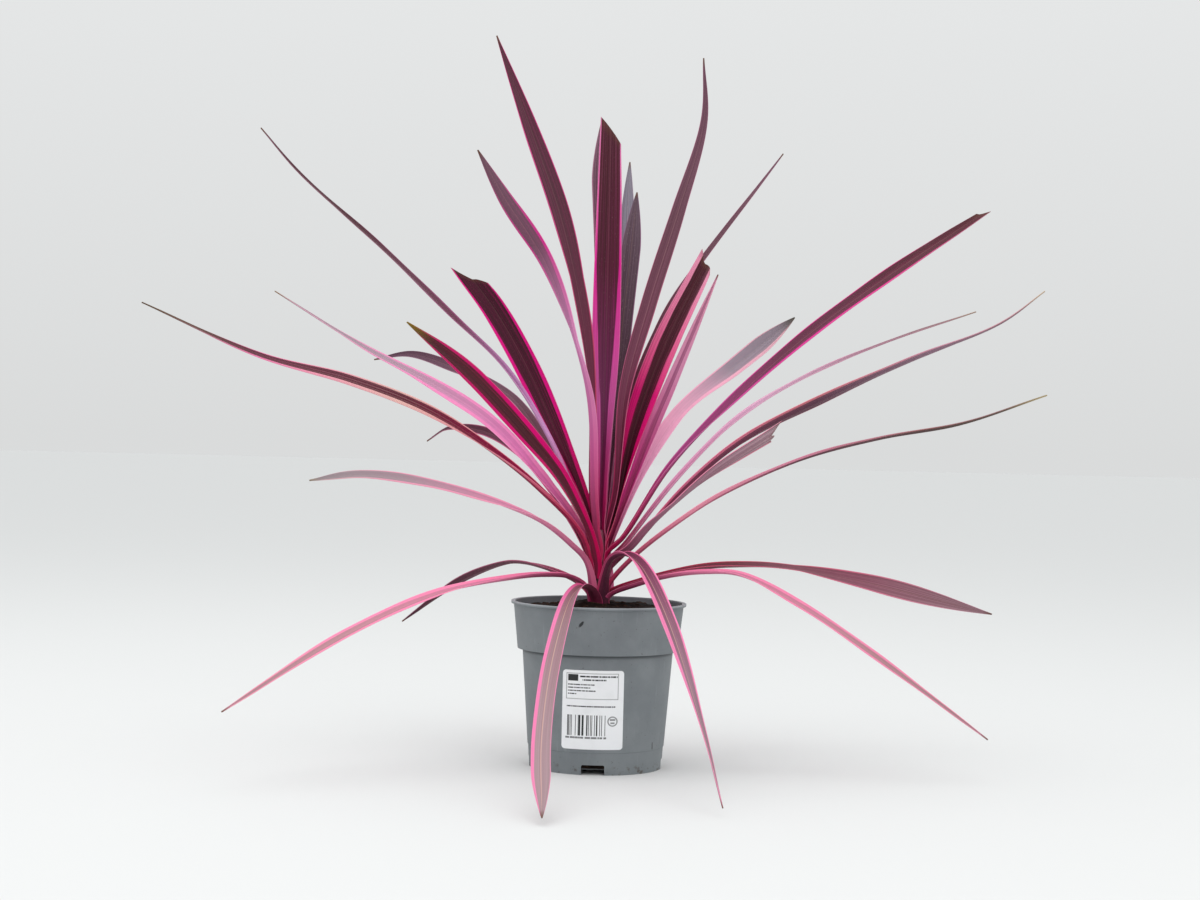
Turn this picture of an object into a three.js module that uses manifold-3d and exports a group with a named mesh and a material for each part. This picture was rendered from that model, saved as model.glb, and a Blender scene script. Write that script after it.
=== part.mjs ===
// A potted cordyline: a grey nursery pot filled with compost, a short stem
// and long strap leaves that fan out from it, burgundy with pink margins.
// Millimetres, +Z up. The origin is on the pot's axis at the underside of its base.

import * as THREE from 'three';
import { mergeVertices } from 'three/addons/utils/BufferGeometryUtils.js';
import Module from 'manifold-3d';

const wasm = await Module();
wasm.setup();

// Driving dimensions

const GAP = 0.3; // clearance between pieces that touch on the real plant

const POT_SEGMENTS = 64;
const POT_HEIGHT = 159;
const POT_WALL = 1.4;
const FOOT_RADIUS = 64.5;
const WALL_TOP_RADIUS = 73;
const COLLAR_Z = 113.5;
const COLLAR_LOW_RADIUS = 78;
const COLLAR_TOP_RADIUS = 82.6;
const LIP_RADIUS = 85;
const LIP_THICKNESS = 2.2;
const STEP_Z = 21; // faint step on the wall above the base
const STEP_RADIUS = 65.5; // just below the step
const STEP_DEPTH = 0.6;
const FLOOR_Z = 4; // underside of the raised part of the floor
const FLOOR_DISC_RADIUS = 27; // the middle of the floor comes down to the surface
const FOOT_WIDTH = 3.5;

const NOTCH_COUNT = 4;
const NOTCH_WIDTH = 22;
const NOTCH_HEIGHT = 9.5;
const NOTCH_DEPTH = 18;
const NOTCH_HEADING = -2; // degrees, the notch at the front

const SOIL_SEGMENTS = 32;
const SOIL_Z = 150;
const SOIL_LUMP = 1.6;
const SOIL_RINGS = [66, 53, 40, 27, 17]; // radii on the lumpy top

const STEM_SEGMENTS = 16;
const STEM_BOTTOM_Z = 96;
const STEM_RADIUS = 9.5;
const STEM_RINGS = [ // [height, radius], from the foot to the growing point
  [96, 8], [104, STEM_RADIUS], [156, STEM_RADIUS], [175, 8], [200, 6], [222, 4], [229, 2.2],
];

const LABEL_LOW_Z = 24;
const LABEL_HIGH_Z = 99;
const LABEL_FIRST_SEGMENT = -5; // counted from the front, in segments of the pot
const LABEL_LAST_SEGMENT = 4;
const LABEL_THICKNESS = 0.6;
const LABEL_ROWS = 4;

const LEAF_STEP = 21; // length of one segment of a blade
const LEAF_EDGE = 0.64; // thickness at the margins
const PETIOLE_MID = 1.5; // thickness along the midrib at the seat
const BLADE_MID = 0.9; // thickness along the midrib of the blade
const SEAT_WIDTH = 8;
const SEAT_FOLD = 20; // degrees each half is folded up where the leaf clasps the stem
const PETIOLE_FOLD = 38;
const BLADE_FOLD = 10;
const NECK_RATIO = 0.5; // width of the neck, as a part of the widest width
const NECK_LIMIT = 11;
const POINT_WIDTH = 1.4;
const TAPER_POWER = 1.6; // above 1 the blade stays wide for longer before it tapers
const SLANT_LENGTH = 60; // stretch before a trimmed tip in which the margins grow unequal

// Places along a leaf where its shape changes, as shares of its length from the seat
const SEAT_END = 0.08;
const NECK_END = 0.05; // from here on the neck opens into the blade
const FULL_FOLD = 0.06;
const UNFOLD_START = 0.12;
const THIN_FROM = 0.4;
const MIDDLE = 0.5;
const WIDE = [0.5, 0.55]; // the blade has its full width between these

// One row for each leaf, from the lowest to the youngest in the middle.
// heading: degrees, 0 to the front, 90 to the right, 180 to the back
// turn: degrees by which the tip has swung round from the heading; bend: 1 for an even swing
// seat: height on the stem; width: widest part of the blade
// wide: the stretch of full width, as shares of the length, where it isn't the usual one
// roll: degrees about the leaf's own line at the middle and at the tip, + lifts its right margin
// cut: for a trimmed tip, the share of the width that is left there
// slant: how much farther the right margin of a trimmed tip reaches than the left one
// path: points [out, up] that the midrib runs through after the seat
const LEAVES = [
  { heading: 340, turn: 13, bend: 1, seat: 158, width: 17, wide: [0.35, 0.85], roll: [4, 10],
    path: [[24, 170], [52, 176], [80, 172], [108, 160], [179, 114], [258, 59], [346, 8]] },
  { heading: 176, turn: 6, seat: 159, width: 19, roll: [0, 12],
    path: [[22, 176], [48, 190], [84, 188], [140, 158], [210, 98], [270, 48]] },
  { heading: 290, turn: 12, seat: 160, width: 17, roll: [18, 22],
    path: [[15, 173], [30, 182], [56, 184], [91, 181], [162, 168], [253, 133], [387, 70]] },
  { heading: 24, turn: -3, seat: 161, width: 17, wide: [0.38, 0.5], roll: [4, 60],
    path: [[14, 180], [24, 197], [44, 206], [68, 207], [98, 198], [159, 155], [247, 67], [303, 9]] },
  { heading: 222, turn: 6, seat: 162, width: 15, roll: [-10, -14],
    path: [[28, 173], [58, 182], [111, 190], [140, 188], [201, 168], [279, 120]] },
  { heading: 72, turn: 10, seat: 163, width: 16, roll: [-16, -20],
    path: [[41, 177], [71, 186], [106, 191], [140, 190], [197, 164], [264, 121], [375, 41]] },
  { heading: 110, turn: -11, seat: 165, width: 22, wide: [0.55, 0.7], roll: [-14, -110],
    path: [[43, 177], [106, 191], [149, 194], [191, 193], [273, 180], [398, 151]] },
  { heading: 192, turn: -8, seat: 167, width: 20, roll: [8, 14],
    path: [[34, 196], [80, 226], [140, 246], [220, 240], [300, 206]] },
  { heading: 306, turn: 12, seat: 169, width: 16, wide: [0.5, 0.65], roll: [34, 34],
    path: [[18, 198], [36, 214], [66, 234], [101, 248], [191, 270], [286, 280], [368, 276]] },
  { heading: 78, turn: -8, seat: 172, width: 15, roll: [10, 14],
    path: [[32, 201], [78, 239], [117, 265], [193, 301], [269, 323], [345, 338], [426, 366]] },
  { heading: 206, turn: 14, seat: 174, width: 12, wide: [0.5, 0.75], roll: [10, 60],
    path: [[32, 205], [68, 235], [122, 274], [168, 301], [222, 322], [270, 325], [294, 311]] },
  { heading: 232, turn: 8, seat: 179, width: 19, wide: [0.45, 0.55], roll: [28, -20],
    path: [[25, 223], [78, 278], [143, 331], [221, 371], [302, 407], [407, 467]] },
  { heading: 46, turn: 6, seat: 181, width: 20, roll: [-20, 30], cut: 0.7, slant: 20,
    path: [[22, 200], [43, 213], [73, 241], [135, 286], [200, 326]] },
  { heading: 168, turn: 4, seat: 182, width: 21, roll: [0, -10],
    path: [[28, 220], [70, 280], [130, 334], [210, 372], [300, 388]] },
  { heading: 278, turn: -9, seat: 184, width: 19, roll: [40, 10],
    path: [[20, 223], [60, 265], [109, 303], [173, 341], [245, 367], [332, 389], [452, 440]] },
  { heading: 90, turn: 9, seat: 186, width: 17, wide: [0.36, 0.42], roll: [34, 8],
    path: [[34, 215], [86, 275], [143, 322], [221, 364], [300, 401], [395, 441], [445, 476]] },
  { heading: 112, turn: -9, seat: 190, width: 13, roll: [-6, -4],
    path: [[31, 219], [83, 282], [145, 342], [208, 381], [290, 419], [384, 455]] },
  { heading: 216, turn: 12, seat: 190, width: 14, wide: [0.5, 0.75], roll: [0, 60],
    path: [[14, 215], [35, 249], [101, 317], [154, 359], [235, 388], [292, 403], [333, 397]] },
  { heading: 322, turn: -8, seat: 193, width: 20, wide: [0.6, 0.75], roll: [-30, -20],
    path: [[16, 219], [40, 253], [71, 287], [139, 341], [192, 381], [246, 417]] },
  { heading: 146, turn: -12, seat: 193, width: 20, wide: [0.45, 0.85], roll: [0, -60],
    path: [[34, 236], [75, 290], [131, 346], [209, 396], [279, 451]] },
  { heading: 267, turn: -8, seat: 197, width: 15, roll: [18, 14],
    path: [[14, 228], [51, 313], [96, 382], [152, 435], [224, 501], [312, 575], [356, 621]] },
  { heading: 137, turn: -6, seat: 198, width: 14, roll: [-20, -20],
    path: [[21, 228], [63, 315], [94, 373], [150, 487]] },
  { heading: 173, turn: 2, seat: 202, width: 17, wide: [0.5, 0.8], roll: [0, 10],
    path: [[30, 250], [67, 345], [130, 434], [190, 515], [258, 620]] },
  { heading: 95, turn: 10, seat: 204, width: 17, wide: [0.5, 0.7], roll: [-36, -60], cut: 0.4, slant: 12,
    path: [[23, 221], [67, 291], [125, 355], [195, 419], [279, 482], [395, 556]] },
  { heading: 238, turn: 6, seat: 206, width: 25, wide: [0.64, 0.75], roll: [60, 65], cut: 0.85,
    slant: -34,
    path: [[14, 240], [47, 310], [87, 384], [125, 443], [152, 477]] },
  { heading: 146, turn: -8, seat: 207, width: 6.5, roll: [-40, -40],
    path: [[25, 250], [46, 352], [62, 386], [85, 419], [118, 460], [277, 626]] },
  { heading: 124, turn: -3, seat: 212, width: 27, wide: [0.6, 0.66], roll: [-45, -50], cut: 0.7,
    slant: -20,
    path: [[17, 240], [37, 327], [71, 412], [116, 497]] },
  { heading: 318, turn: -8, seat: 211, width: 20, wide: [0.5, 0.75], roll: [34, -60],
    path: [[14, 258], [22, 354], [50, 425], [84, 484], [131, 539], [159, 581]] },
  { heading: 168, turn: 2, seat: 221, width: 21, wide: [0.5, 0.8], roll: [0, 6],
    path: [[17, 258], [38, 330], [80, 420], [130, 510], [172, 577]] },
  { heading: 127, turn: 3, seat: 216, width: 16, roll: [-50, -60],
    path: [[19, 262], [27, 365], [53, 450], [90, 547], [124, 641], [121, 703]] },
  { heading: 175, turn: 10, seat: 225, width: 24, wide: [0.5, 0.85], roll: [0, -10],
    path: [[13, 258], [30, 340], [62, 450], [104, 638]] },
  { heading: 261, turn: -9, seat: 218, width: 25, roll: [24, 100],
    path: [[11, 262], [13, 340], [22, 430], [46, 530], [82, 625], [120, 713]] },
  { heading: 178, turn: 1, seat: 228, width: 28, roll: [0, 0], cut: 0.75, slant: -28,
    path: [[1, 262], [15, 330], [30, 420], [48, 530], [60, 625]] },
];

// Materials

const COLOURS = {
  pot: { color: 0x7b8285, roughness: 0.6, metalness: 0 },
  soil: { color: 0x2e2018, roughness: 0.95, metalness: 0 },
  stem: { color: 0x7a3a4c, roughness: 0.6, metalness: 0 },
  label: { color: 0xeef0f0, roughness: 0.5, metalness: 0 },
  leaf: { color: 0x8f3a62, roughness: 0.4, metalness: 0 },
};

const group = new THREE.Group();

function addMesh(name, geometry, colours) {
  geometry.computeVertexNormals();
  const mesh = new THREE.Mesh(geometry, new THREE.MeshStandardMaterial(colours));
  mesh.name = name;
  group.add(mesh);
}

// Helpers

const radians = THREE.MathUtils.degToRad;
const lerp = THREE.MathUtils.lerp;
const smoothstep = THREE.MathUtils.smoothstep;

// A closed triangle mesh as a solid for joining and cutting
function toSolid(geometry) {
  const bare = geometry.index ? geometry.clone() : geometry;
  bare.deleteAttribute('normal');
  bare.deleteAttribute('uv');
  const merged = mergeVertices(bare, 1e-4);
  return new wasm.Manifold(new wasm.Mesh({
    numProp: 3,
    vertProperties: new Float32Array(merged.attributes.position.array),
    triVerts: new Uint32Array(merged.index.array),
  }));
}

function fromSolid(solid) {
  const { vertProperties, triVerts, numProp } = solid.getMesh();
  const positions = [];
  for (let i = 0; i < vertProperties.length; i += numProp) {
    positions.push(vertProperties[i], vertProperties[i + 1], vertProperties[i + 2]);
  }
  return fromArrays(positions, [...triVerts]);
}

function fromArrays(positions, triangles) {
  const geometry = new THREE.BufferGeometry();
  geometry.setAttribute('position', new THREE.Float32BufferAttribute(positions, 3));
  geometry.setIndex(triangles);
  return geometry;
}

// A turned body about the Z axis from [radius, height] pairs; its first corner faces the front
function turned(profile, segments) {
  const points = profile.map(([radius, height]) => new THREE.Vector2(radius, height));
  return new THREE.LatheGeometry(points, segments).rotateX(Math.PI / 2);
}

// Radii of the pot's outside and of the stem at a height

function potRadius(z) {
  if (z <= STEP_Z) {
    return lerp(FOOT_RADIUS, STEP_RADIUS, z / STEP_Z);
  }
  if (z <= COLLAR_Z) {
    return lerp(STEP_RADIUS + STEP_DEPTH, WALL_TOP_RADIUS, (z - STEP_Z) / (COLLAR_Z - STEP_Z));
  }
  return lerp(COLLAR_LOW_RADIUS, COLLAR_TOP_RADIUS, (z - COLLAR_Z) / (POT_HEIGHT - COLLAR_Z));
}

function stemRadius(z) {
  for (let i = 1; i < STEM_RINGS.length; i++) {
    const [lowZ, lowRadius] = STEM_RINGS[i - 1];
    const [highZ, highRadius] = STEM_RINGS[i];
    if (z <= highZ) {
      return lerp(lowRadius, highRadius, Math.max(0, (z - lowZ) / (highZ - lowZ)));
    }
  }
  return 0;
}

// The pot: a thin wall with a collar and a lip, a raised floor and drain notches

function potGeometry() {
  const floorTop = FLOOR_Z + POT_WALL;
  const shoulderTop = COLLAR_Z + POT_WALL;
  const profile = [
    [0, 0],
    [FLOOR_DISC_RADIUS, 0],
    [FLOOR_DISC_RADIUS + FLOOR_Z, FLOOR_Z],
    [FOOT_RADIUS - FOOT_WIDTH - FLOOR_Z, FLOOR_Z],
    [FOOT_RADIUS - FOOT_WIDTH, 0],
    [FOOT_RADIUS, 0],
    [potRadius(STEP_Z), STEP_Z],
    [potRadius(STEP_Z) + STEP_DEPTH, STEP_Z + STEP_DEPTH],
    [WALL_TOP_RADIUS, COLLAR_Z],
    [COLLAR_LOW_RADIUS, COLLAR_Z],
    [COLLAR_TOP_RADIUS, POT_HEIGHT - LIP_THICKNESS],
    [LIP_RADIUS, POT_HEIGHT - LIP_THICKNESS],
    [LIP_RADIUS, POT_HEIGHT],
    [COLLAR_TOP_RADIUS - POT_WALL, POT_HEIGHT],
    [COLLAR_LOW_RADIUS - POT_WALL, shoulderTop],
    [WALL_TOP_RADIUS - POT_WALL, shoulderTop],
    [FOOT_RADIUS - POT_WALL, floorTop],
    [FLOOR_DISC_RADIUS + FLOOR_Z - POT_WALL, floorTop],
    [FLOOR_DISC_RADIUS - POT_WALL, POT_WALL],
    [0, POT_WALL],
  ];
  let pot = toSolid(turned(profile, POT_SEGMENTS));
  for (let i = 0; i < NOTCH_COUNT; i++) {
    const heading = radians(NOTCH_HEADING + (i * 360) / NOTCH_COUNT);
    const cutter = new THREE.BoxGeometry(NOTCH_WIDTH, NOTCH_DEPTH, 2 * NOTCH_HEIGHT);
    cutter.translate(0, -FOOT_RADIUS, 0);
    cutter.rotateZ(heading);
    pot = pot.subtract(toSolid(cutter));
  }
  return fromSolid(pot);
}

// The compost: it fills the pot, is lumpy on top and has a plain hole for the stem

function soilGeometry() {
  const inner = (z) => potRadius(z) - POT_WALL - GAP;
  const floorTop = FLOOR_Z + POT_WALL + GAP;
  const shoulderTop = COLLAR_Z + POT_WALL + GAP;
  const holeRadius = STEM_RADIUS + GAP;
  const holeZ = STEM_BOTTOM_Z - GAP;
  const profile = [
    [0, floorTop],
    [FOOT_RADIUS - POT_WALL - 2 * GAP, floorTop],
    [WALL_TOP_RADIUS - POT_WALL - 2 * GAP, shoulderTop],
    [inner(shoulderTop) - GAP, shoulderTop],
    [inner(SOIL_Z) - GAP, SOIL_Z],
    ...SOIL_RINGS.map((radius) => [radius, SOIL_Z]),
    [holeRadius, SOIL_Z],
    [holeRadius, holeZ],
    [0, holeZ],
  ];
  const geometry = turned(profile, SOIL_SEGMENTS);
  const position = geometry.attributes.position;
  for (let i = 0; i < position.count; i++) {
    if (position.getZ(i) === SOIL_Z) {
      const x = position.getX(i);
      const y = position.getY(i);
      const broad = Math.sin(0.21 * x + 1) * Math.cos(0.19 * y);
      const fine = Math.sin(0.47 * x - 0.39 * y);
      position.setZ(i, SOIL_Z + SOIL_LUMP * (broad + fine));
    }
  }
  return geometry;
}

// The stem: a short tapered body, sunk in the hole of the compost

function stemGeometry() {
  const profile = [[0, STEM_BOTTOM_Z], ...STEM_RINGS.map(([z, radius]) => [radius, z])];
  profile.push([0, STEM_RINGS.at(-1)[0] + 1]);
  return turned(profile, STEM_SEGMENTS);
}

// The sticker: a thin sheet bent round the wall, with its corners over the pot's own corners

function labelGeometry() {
  const columns = [];
  for (let segment = LABEL_FIRST_SEGMENT; segment <= LABEL_LAST_SEGMENT; segment++) {
    columns.push((segment * 2 * Math.PI) / POT_SEGMENTS);
  }
  const positions = [];
  for (const lift of [GAP + LABEL_THICKNESS, GAP]) {
    for (let row = 0; row <= LABEL_ROWS; row++) {
      const z = lerp(LABEL_LOW_Z, LABEL_HIGH_Z, row / LABEL_ROWS);
      for (const angle of columns) {
        const radius = potRadius(z) + lift;
        positions.push(radius * Math.sin(angle), -radius * Math.cos(angle), z);
      }
    }
  }
  return sheetGeometry(positions, LABEL_ROWS + 1, columns.length);
}

// A thin sheet from two grids of points, the upper grid first, split alike on both faces
function sheetGeometry(positions, rows, columns) {
  const triangles = [];
  const upper = (row, column) => row * columns + column;
  const lower = (row, column) => rows * columns + upper(row, column);
  const quad = (a, b, c, d) => triangles.push(a, b, c, a, c, d);
  for (let row = 0; row < rows - 1; row++) {
    for (let column = 0; column < columns - 1; column++) {
      const corners = [[row, column], [row, column + 1], [row + 1, column + 1], [row + 1, column]];
      const [a, b, c, d] = corners.map((corner) => upper(...corner));
      const [e, f, g, h] = corners.map((corner) => lower(...corner));
      quad(a, b, c, d);
      quad(e, h, g, f);
    }
    const last = columns - 1;
    quad(upper(row, 0), upper(row + 1, 0), lower(row + 1, 0), lower(row, 0));
    quad(upper(row + 1, last), upper(row, last), lower(row, last), lower(row + 1, last));
  }
  for (let column = 0; column < columns - 1; column++) {
    const last = rows - 1;
    quad(upper(0, column + 1), upper(0, column), lower(0, column), lower(0, column + 1));
    quad(upper(last, column), upper(last, column + 1), lower(last, column + 1), lower(last, column));
  }
  return fromArrays(positions, triangles);
}

// The leaves

// Width of a leaf at a share of its length: a clasping seat, a narrow neck, then the blade
function leafWidth(leaf, share) {
  const neck = Math.min(NECK_RATIO * leaf.width, NECK_LIMIT);
  const [wideFrom, wideTo] = leaf.wide ?? WIDE;
  const opening = lerp(neck, leaf.width, smoothstep(share, NECK_END, wideFrom));
  const whole = lerp(SEAT_WIDTH, opening, smoothstep(share, 0, SEAT_END));
  const end = leaf.cut ? leaf.cut * leaf.width : POINT_WIDTH;
  const taper = Math.max(0, (share - wideTo) / (1 - wideTo));
  return lerp(whole, end, taper ** TAPER_POWER);
}

// The midrib as a curve through the seat and the row's points
function midribCurve(leaf) {
  const seatOut = (stemRadius(leaf.seat) + GAP) / Math.cos(radians(SEAT_FOLD));
  const rows = [[seatOut, leaf.seat], ...leaf.path];
  const reach = rows.at(-1)[0];
  const points = rows.map(([out, up]) => {
    const swing = radians(leaf.turn) * (out / reach) ** (leaf.bend ?? 2);
    return new THREE.Vector3(out * Math.cos(swing), out * Math.sin(swing), up);
  });
  return new THREE.CatmullRomCurve3(points, false, 'centripetal');
}

// Directions of a leaf at a share of its length: along, to its right and out of its upper face
function leafFrame(leaf, curve, share) {
  const along = curve.getTangentAt(share);
  const right = new THREE.Vector3(0, -1, 0);
  right.addScaledVector(along, -right.dot(along)).normalize();
  const up = new THREE.Vector3().crossVectors(right, along);
  const [middleRoll, tipRoll] = leaf.roll;
  const roll = radians(share < MIDDLE
    ? middleRoll * smoothstep(share, NECK_END, MIDDLE)
    : lerp(middleRoll, tipRoll, (share - MIDDLE) / (1 - MIDDLE)));
  return { along, right: right.applyAxisAngle(along, -roll), up: up.applyAxisAngle(along, -roll) };
}

// Angle by which each half of a leaf is folded up from its midrib
function leafFold(share) {
  const unfolding = lerp(PETIOLE_FOLD, BLADE_FOLD, smoothstep(share, UNFOLD_START, MIDDLE));
  return radians(lerp(SEAT_FOLD, unfolding, smoothstep(share, 0, FULL_FOLD)));
}

// A leaf as a thin folded sheet of crosswise rows, each with two margins and the midrib
function leafGeometry(leaf) {
  const curve = midribCurve(leaf);
  const length = curve.getLength();
  const steps = Math.round(length / LEAF_STEP);
  const upper = [];
  const lower = [];
  for (let step = 0; step <= steps; step++) {
    const share = step / steps;
    const middle = curve.getPointAt(share);
    const { along, right, up } = leafFrame(leaf, curve, share);
    const half = leafWidth(leaf, share) / 2;
    const fold = leafFold(share);
    const midThickness = lerp(PETIOLE_MID, BLADE_MID, smoothstep(share, 0, THIN_FROM));
    const slantShare = Math.max(0, 1 - ((1 - share) * length) / SLANT_LENGTH);
    const slant = ((leaf.slant ?? 0) / 2) * slantShare;
    for (const side of [-1, 0, 1]) {
      const point = middle.clone();
      point.addScaledVector(right, side * half * Math.cos(fold));
      point.addScaledVector(up, Math.abs(side) * half * Math.sin(fold));
      point.addScaledVector(along, side * slant);
      const thickness = side === 0 ? midThickness : LEAF_EDGE / Math.cos(fold);
      upper.push(...point);
      lower.push(...point.addScaledVector(up, -thickness));
    }
  }
  const geometry = sheetGeometry([...upper, ...lower], steps + 1, 3);
  return geometry.rotateZ(radians(leaf.heading - 90));
}

addMesh('pot', potGeometry(), COLOURS.pot);
addMesh('soil', soilGeometry(), COLOURS.soil);
addMesh('stem', stemGeometry(), COLOURS.stem);
addMesh('label', labelGeometry(), COLOURS.label);
LEAVES.forEach((leaf, index) => {
  const name = `leaf_${String(index + 1).padStart(2, '0')}`;
  addMesh(name, leafGeometry(leaf), COLOURS.leaf);
});

export default group;
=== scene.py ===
# %% [markdown]
# # A potted cordyline
#
# The plant stands in a grey nursery pot: long strap leaves, burgundy with pink margins, grow
# from a short stem in dark compost. Each of them shows where a finer piece belongs, so
# nothing here has to be placed by eye.

# %% Load the frame
import math
import random

import bmesh
import bpy
import numpy as np
from mathutils import Matrix, Vector
from mathutils.bvhtree import BVHTree


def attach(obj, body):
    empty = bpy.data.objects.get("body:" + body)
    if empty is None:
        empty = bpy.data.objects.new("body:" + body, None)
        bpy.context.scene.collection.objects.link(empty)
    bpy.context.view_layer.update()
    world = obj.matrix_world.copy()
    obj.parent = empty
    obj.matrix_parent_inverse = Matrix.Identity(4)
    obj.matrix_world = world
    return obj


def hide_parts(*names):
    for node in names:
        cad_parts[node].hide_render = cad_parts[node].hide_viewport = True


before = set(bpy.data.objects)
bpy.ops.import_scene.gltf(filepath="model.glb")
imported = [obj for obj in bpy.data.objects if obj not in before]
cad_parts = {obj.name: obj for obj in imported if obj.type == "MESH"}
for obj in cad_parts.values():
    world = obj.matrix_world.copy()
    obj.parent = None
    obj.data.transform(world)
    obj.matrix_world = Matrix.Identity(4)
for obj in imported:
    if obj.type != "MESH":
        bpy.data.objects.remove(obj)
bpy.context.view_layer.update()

MM = 0.001

# %% [markdown]
# ## The camera, the floor and the light
#
# The camera looks level at the plant from two metres away. It is rolled a little, as the
# photographer's was. The light is that of a bright studio: a pale world all round, one large
# soft lamp overhead and a weaker one from the front, so that the leaves shine on top.

# %% Camera
CAMERA_AWAY = 2100 * MM
CAMERA_HEIGHT = 313 * MM
CAMERA_ROLL = 1.35
PHOTO_WIDTH = 1200
PHOTO_SHIFT = (-2.6, -6.9)
PIXELS_PER_RADIAN = 2163

lens = bpy.data.cameras.new("camera")
lens.sensor_width = 36
lens.lens = PIXELS_PER_RADIAN / PHOTO_WIDTH * lens.sensor_width
lens.shift_x, lens.shift_y = (pixels / PHOTO_WIDTH for pixels in PHOTO_SHIFT)
lens.clip_end = 100
camera = bpy.data.objects.new("camera", lens)
camera.location = (0, -CAMERA_AWAY, CAMERA_HEIGHT)
camera.rotation_euler = (math.radians(90), math.radians(-CAMERA_ROLL), 0)
bpy.context.scene.collection.objects.link(camera)
bpy.context.scene.camera = camera
print("lens:", round(lens.lens, 1), "mm")

# %% Floor and light
FLOOR_SIZE = 60
bpy.ops.object.select_all(action="DESELECT")
bpy.ops.mesh.primitive_plane_add(size=FLOOR_SIZE)
floor = bpy.context.object
floor.name = "studio_floor"

floor_paint = bpy.data.materials.new("pale_floor")
floor_paint.use_nodes = True
floor_shader = floor_paint.node_tree.nodes["Principled BSDF"]
floor_shader.inputs["Base Color"].default_value = (0.71, 0.715, 0.71, 1)
floor_shader.inputs["Roughness"].default_value = 0.9
floor.data.materials.append(floor_paint)

# The world is brighter overhead than at the horizon, where it meets the floor unseen
world = bpy.data.worlds.new("studio_world")
world.use_nodes = True
sky = world.node_tree.nodes
direction = sky.new("ShaderNodeTexCoord")
split = sky.new("ShaderNodeSeparateXYZ")
ramp = sky.new("ShaderNodeMapRange")
tone = sky.new("ShaderNodeMix")
tone.data_type = "RGBA"
tone.inputs[6].default_value = (0.70, 0.71, 0.71, 1)
tone.inputs[7].default_value = (1.12, 1.14, 1.15, 1)
for source, target in (
        (direction.outputs["Generated"], split.inputs[0]), (split.outputs["Z"], ramp.inputs[0]),
        (ramp.outputs[0], tone.inputs[0]), (tone.outputs[2], sky["Background"].inputs[0])):
    world.node_tree.links.new(source, target)
bpy.context.scene.world = world
bpy.context.scene.view_settings.view_transform = "Standard"


def soft_lamp(name, place, target, size, watts):
    """A square area lamp at a place that faces a target."""
    light = bpy.data.lights.new(name, "AREA")
    light.size = size
    light.energy = watts
    lamp = bpy.data.objects.new(name, light)
    lamp.location = place
    lamp.rotation_euler = (Vector(target) - Vector(place)).to_track_quat("-Z", "Y").to_euler()
    bpy.context.scene.collection.objects.link(lamp)
    return lamp


soft_lamp("lamp_overhead", (-0.5, -0.4, 2.6), (0, 0, 0.3), 2.6, 26)
soft_lamp("lamp_front", (1.3, -2.3, 1.3), (0, 0, 0.3), 1.6, 7)

# %% [markdown]
# ## Writing a finish as sums
#
# A procedural finish is arithmetic on numbers that change over the surface. Wiring dozens of
# Math nodes by hand is hard to read, so a small class wraps a socket and overloads the
# operators: an expression such as `1 - mask * 0.5` then adds its own nodes.

# %% Shader helpers


def srgb(code):
    """A colour as seen on a screen, such as "5a2e3c", as the linear numbers of a shader."""
    channels = [int(code[i:i + 2], 16) / 255 for i in (0, 2, 4)]
    linear = [c / 12.92 if c <= 0.04045 else ((c + 0.055) / 1.055) ** 2.4 for c in channels]
    return (*linear, 1.0)


class Value:
    """A socket of a finish that takes part in sums."""

    def __init__(self, finish, socket):
        self.finish = finish
        self.socket = socket

    def apply(self, operation, *others):
        node = self.finish.node("ShaderNodeMath", {"operation": operation}, [self, *others])
        return node.out()

    def __add__(self, other):
        return self.apply("ADD", other)

    def __sub__(self, other):
        return self.apply("SUBTRACT", other)

    def __mul__(self, other):
        return self.apply("MULTIPLY", other)

    def __truediv__(self, other):
        return self.apply("DIVIDE", other)

    def __pow__(self, other):
        return self.apply("POWER", other)

    def __rsub__(self, other):
        return self.finish.node("ShaderNodeMath", {"operation": "SUBTRACT"}, [other, self]).out()

    __radd__ = __add__

    def rise(self, low, high):
        """0 below low and 1 above high, with a smooth step between them."""
        settings = {"interpolation_type": "SMOOTHSTEP"}
        return self.finish.node("ShaderNodeMapRange", settings, [self, low, high, 0.0, 1.0]).out()

    def sine(self):
        return self.apply("SINE")

    def size(self):
        return self.apply("ABSOLUTE")


class Node:
    """A node of a finish, whose outputs are picked by name."""

    def __init__(self, finish, node):
        self.finish = finish
        self.node = node

    def out(self, name=0):
        return Value(self.finish, self.node.outputs[name])


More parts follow.
